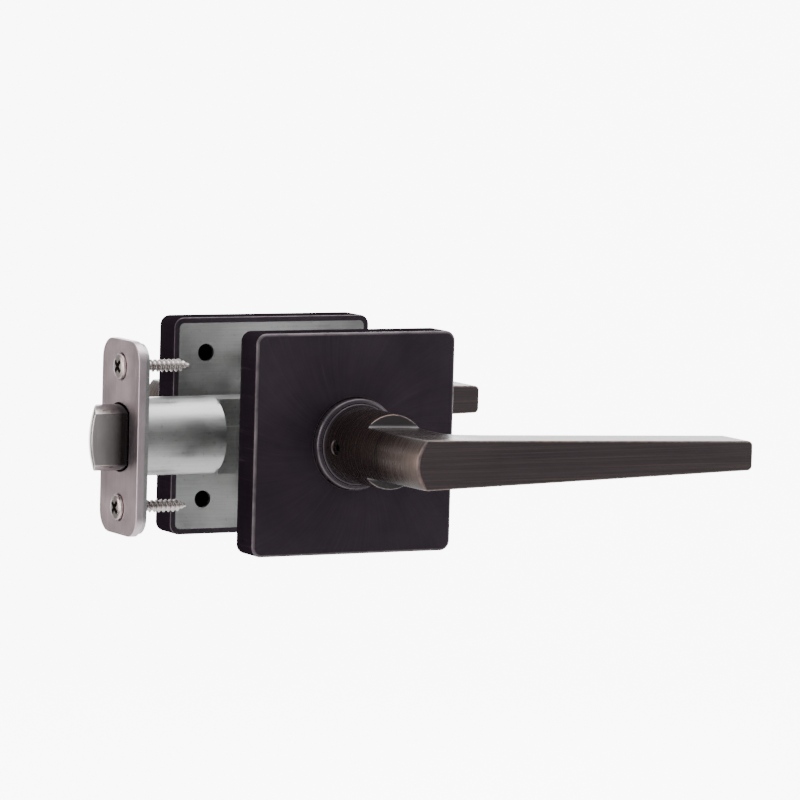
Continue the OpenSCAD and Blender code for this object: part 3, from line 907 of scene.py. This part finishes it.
def build_bolt():
    """Bevelled nose over a D section, then the round hollow tail."""
    tip = bolt_tip_x / MM
    nose_r, barrel_r, nose_y, stub = 13.0, 30.0, -6.6, 0.6
    outline, normals = bolt_outline()

    def bulge(z):
        return nose_r - (barrel_r - sqrt(barrel_r * barrel_r - z * z))

    def along(y, z):
        """Arc length from the leading edge to depth y."""
        r = bulge(z)
        limit = sqrt(r * r - stub * stub)
        run = y - nose_y
        if run <= limit:
            return r * atan2(run, sqrt(max(r * r - run * run, 0)))
        return r * atan2(limit, stub) + run - limit

    def surface(s, z):
        """The nose's x and y at arc length s: a curve, then straight back."""
        r = bulge(z)
        limit = sqrt(r * r - stub * stub)
        stop = r * atan2(limit, stub)
        if s <= stop:
            return tip + nose_r - r * cos(s / r), nose_y + r * sin(s / r)
        return tip + nose_r - stub, nose_y + limit + s - stop

    # The nose's face, spreading from its middle, then its rounded edge
    middle = 9.0
    loops = []
    for share in (0.0005, 0.12, 0.25, 0.38, 0.5, 0.61, 0.71, 0.8, 0.87, 0.92, 0.95):
        row = []
        for u, v in outline:
            z = v * share
            row.append((*surface(middle + (along(-u, v) - middle) * share, z), z))
        loops.append(row)
    for a in (radians(90 - 15 * i) for i in range(7)):
        inward = BOLT_EDGE * (1 - cos(a))
        drop = BOLT_EDGE * (1 - sin(a))
        row = []
        for (u, v), (nu, nv) in zip(outline, normals):
            z = v - inward * nv
            x, y = surface(along(-(u - inward * nu), z), z)
            row.append((x + drop, y, z))
        loops.append(row)
    loops += [[(x, -u, v) for u, v in outline] for x in (-59.0, -57.6)]

    # Round tail, hollow for the spring, and the stem's hole
    tail = [(-57.6, 9.6), (-57.4, 9.8), (-44.6, 9.8), (-44.4, 9.6)]
    bore = [(-44.4, 7.2), (-44.6, 7.0), (-56.0, 7.0), (-56.0, 2.55), (-57.9, 2.55), (-57.9, 0.02)]
    angles = [atan2(v, -u) for u, v in outline]
    loops += [[(x, r * cos(a), r * sin(a)) for a in angles] for x, r in tail + bore]
    obj = make_object("latch_bolt_skin", *stack([mm(loop) for loop in loops]))
    shade(obj, 42)
    finish_piece(obj, "bolt", "bolt_chrome", chrome, "latch_bolt")


def build_latch_spring():
    """Compression spring in the bolt's tail, built at one fixed length; nothing here shortens it as the
    bolt is drawn in.
    """
    low, high = (corner / MM for corner in node_box("latch_spring"))
    wire, turns, steps = 0.48, 8, 400
    dead = 0.11
    dead_rise = 0.9
    coil = high.z - wire
    rise = high.x - low.x - 2 * wire
    centres = []
    for i in range(steps + 1):
        t = i / steps
        ends = dead_rise * (min(t, dead) + max(t - (1 - dead), 0)) / dead
        open_turns = (rise - 2 * dead_rise) * clamped((t - dead) / (1 - 2 * dead))
        a = 2 * pi * turns * t
        centres.append(Vector((low.x + wire + ends + open_turns, coil * sin(a), -coil * cos(a))))
    loops = []
    for i, centre in enumerate(centres):
        ahead = (centres[min(i + 1, steps)] - centres[max(i - 1, 0)]).normalized()
        outward = Vector((0, centre.y, centre.z)).normalized()
        across = ahead.cross(outward).normalized()
        loops.append([tuple(centre + wire * (cos(a) * outward + sin(a) * across)) for a in even_angles(10)])
    obj = make_object("latch_spring_skin", *stack([mm(loop) for loop in loops]))
    shade(obj, 60)
    finish_piece(obj, "fixed_parts", "spring_steel", spring_steel, "latch_spring")
    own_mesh(obj)


# CAD parts that stay visible get small rounded edges: width in millimetres by node.
EASED = {"latch_hub": 0.3, "spindle": 0.3, "screw_posts": 0.3} | {
    name: 0.15
    for name in (
        "outside_mounting_plate", "inside_mounting_plate", "faceplate_backing", "retractor",
        "latch_case_outer", "latch_case_inner", "spring_seat", "latch_tube", "outside_lever_hub",
        "inside_lever_hub", "bolt_stem", "outside_retaining_ring", "inside_retaining_ring",
    )
}


def ease_edges(obj, width):
    bevel = obj.modifiers.new("edges", "BEVEL")
    bevel.width = width * MM
    bevel.segments = 2
    bevel.limit_method = "ANGLE"
    bevel.angle_limit = radians(40)
    bevel.harden_normals = False


for side, word in ((-1, "outside"), (1, "inside")):
    build_lever(side, word)
    build_rose(side, word)
    build_housing(side, word)
build_faceplate()
build_faceplate_screws()
build_mounting_screws()
build_bolt()
build_latch_spring()
for name, width in EASED.items():
    ease_edges(nodes[name], width)


# Studio -----------------------------------------------------------------------------


def add_light(name, place, size, power, colour=(1.0, 1.0, 1.0)):
    """An area light aimed at the origin."""
    light = bpy.data.lights.new(name, "AREA")
    light.shape = "RECTANGLE"
    light.size, light.size_y = size
    light.energy = power
    light.color = colour
    obj = bpy.data.objects.new(name, light)
    obj.location = place
    obj.rotation_euler = (-Vector(place)).to_track_quat("-Z", "Y").to_euler()
    bpy.context.scene.collection.objects.link(obj)


def build_world():
    """White surroundings, dimmer towards the left and front and brighter overhead."""
    world = bpy.data.worlds.new("studio")
    bpy.context.scene.world = world
    world.use_nodes = True
    tree = world.node_tree
    direction = tree.nodes.new("ShaderNodeTexCoord").outputs["Generated"]
    strength = None
    for way, start, end, level_before, level_after in (
        ((-0.80, 0.45, -0.20), 0.15, 0.85, 1.0, 0.16),
        ((0.40, -0.90, -0.15), 0.2, 0.95, 1.0, 0.3),
        ((0.25, 0.2, 0.95), 0.1, 0.9, 1.0, 1.6),
    ):
        dot = tree.nodes.new("ShaderNodeVectorMath")
        dot.operation = "DOT_PRODUCT"
        tree.links.new(direction, dot.inputs[0])
        dot.inputs[1].default_value = way
        ramp = tree.nodes.new("ShaderNodeMapRange")
        ramp.interpolation_type = "SMOOTHSTEP"
        tree.links.new(dot.outputs["Value"], ramp.inputs["Value"])
        set_range(ramp, start, end, level_before, level_after)
        if strength is None:
            strength = ramp.outputs[0]
            continue
        both = tree.nodes.new("ShaderNodeMath")
        both.operation = "MULTIPLY"
        tree.links.new(strength, both.inputs[0])
        tree.links.new(ramp.outputs[0], both.inputs[1])
        strength = both.outputs[0]
    background = tree.nodes["Background"]
    background.inputs["Color"].default_value = (1.0, 1.0, 1.0, 1.0)
    tree.links.new(strength, background.inputs["Strength"])


def build_floor():
    """Pale paper, greyer to the left and in front, which glows far behind the object."""
    floor_z, half = -0.5, 60.0
    glow_strength = 8.0
    corners = [(x * half, y * half, floor_z) for x, y in ((-1, -1), (1, -1), (1, 1), (-1, 1))]
    floor = make_object("floor", corners, [(0, 1, 2, 3)])
    g = Graph("floor_paper")
    heading = g.add("ShaderNodeVectorMath", operation="NORMALIZE")
    g.feed(heading.inputs[0], g.coords)
    length = g.add("ShaderNodeVectorMath", operation="LENGTH")
    g.feed(length.inputs[0], g.coords)
    far = length.outputs["Value"]
    behind = g.towards((0.455, 0.885, 0.0), heading.outputs[0])
    glow = g.times(g.span(behind, 0.80, 0.97), g.span(far, 1.2, 2.1))
    paper = g.mix(g.noise(25.0), (0.94, 0.94, 0.94), (0.96, 0.96, 0.96))
    for way, grey in (((-0.66, 0.75, 0.0), 0.16), ((0.40, -0.91, 0.0), 0.34)):
        side = g.towards(way, heading.outputs[0])
        darkening = g.times(g.span(side, 0.30, 0.85), g.span(far, 0.2, 1.2))
        paper = g.mix(darkening, paper, (grey, grey, grey))
    g.feed(g.shader.inputs["Emission Strength"], g.times(glow, glow_strength))
    g.shader.inputs["Emission Color"].default_value = (1.0, 1.0, 1.0, 1.0)
    floor.data.materials.append(g.finish(paper, 0.9, metallic=0.0))


def aim_camera():
    """A long lens at the photograph's viewing angle; yaw and pitch put the object off centre."""
    azimuth, elevation, roll = radians(-27.15), radians(6.0), radians(1.48)
    yaw, pitch = radians(-1.0230), radians(0.3378)
    distance = 1.6
    camera = bpy.data.cameras.new("camera")
    camera.sensor_width = 36.0
    camera.lens = 242.685
    camera.clip_end = 200.0
    back = Vector((sin(azimuth) * cos(elevation), -cos(azimuth) * cos(elevation), sin(elevation)))
    turn = (-back).to_track_quat("-Z", "Y").to_matrix()
    for angle, axis in ((roll, "Z"), (yaw, "Y"), (pitch, "X")):
        turn = turn @ Matrix.Rotation(angle, 3, axis)
    obj = bpy.data.objects.new("camera", camera)
    obj.matrix_world = Matrix.Translation(back * distance) @ turn.to_4x4()
    bpy.context.scene.collection.objects.link(obj)
    bpy.context.scene.camera = obj


build_world()
build_floor()
add_light("top", (0.25, 0.0, 1.3), (1.2, 1.2), 16.0)
add_light("right", (1.3, -0.9, 0.45), (0.5, 0.9), 9.0)
add_light("left_strip", (-1.5, -0.15, 0.25), (0.5, 1.2), 11.0)
add_light("left_back", (-1.35, 0.85, 0.1), (0.35, 0.9), 7.0, (1.0, 0.87, 0.8))
add_light("horizon", (1.4, 2.2, 0.55), (2.2, 0.8), 26.0)
aim_camera()
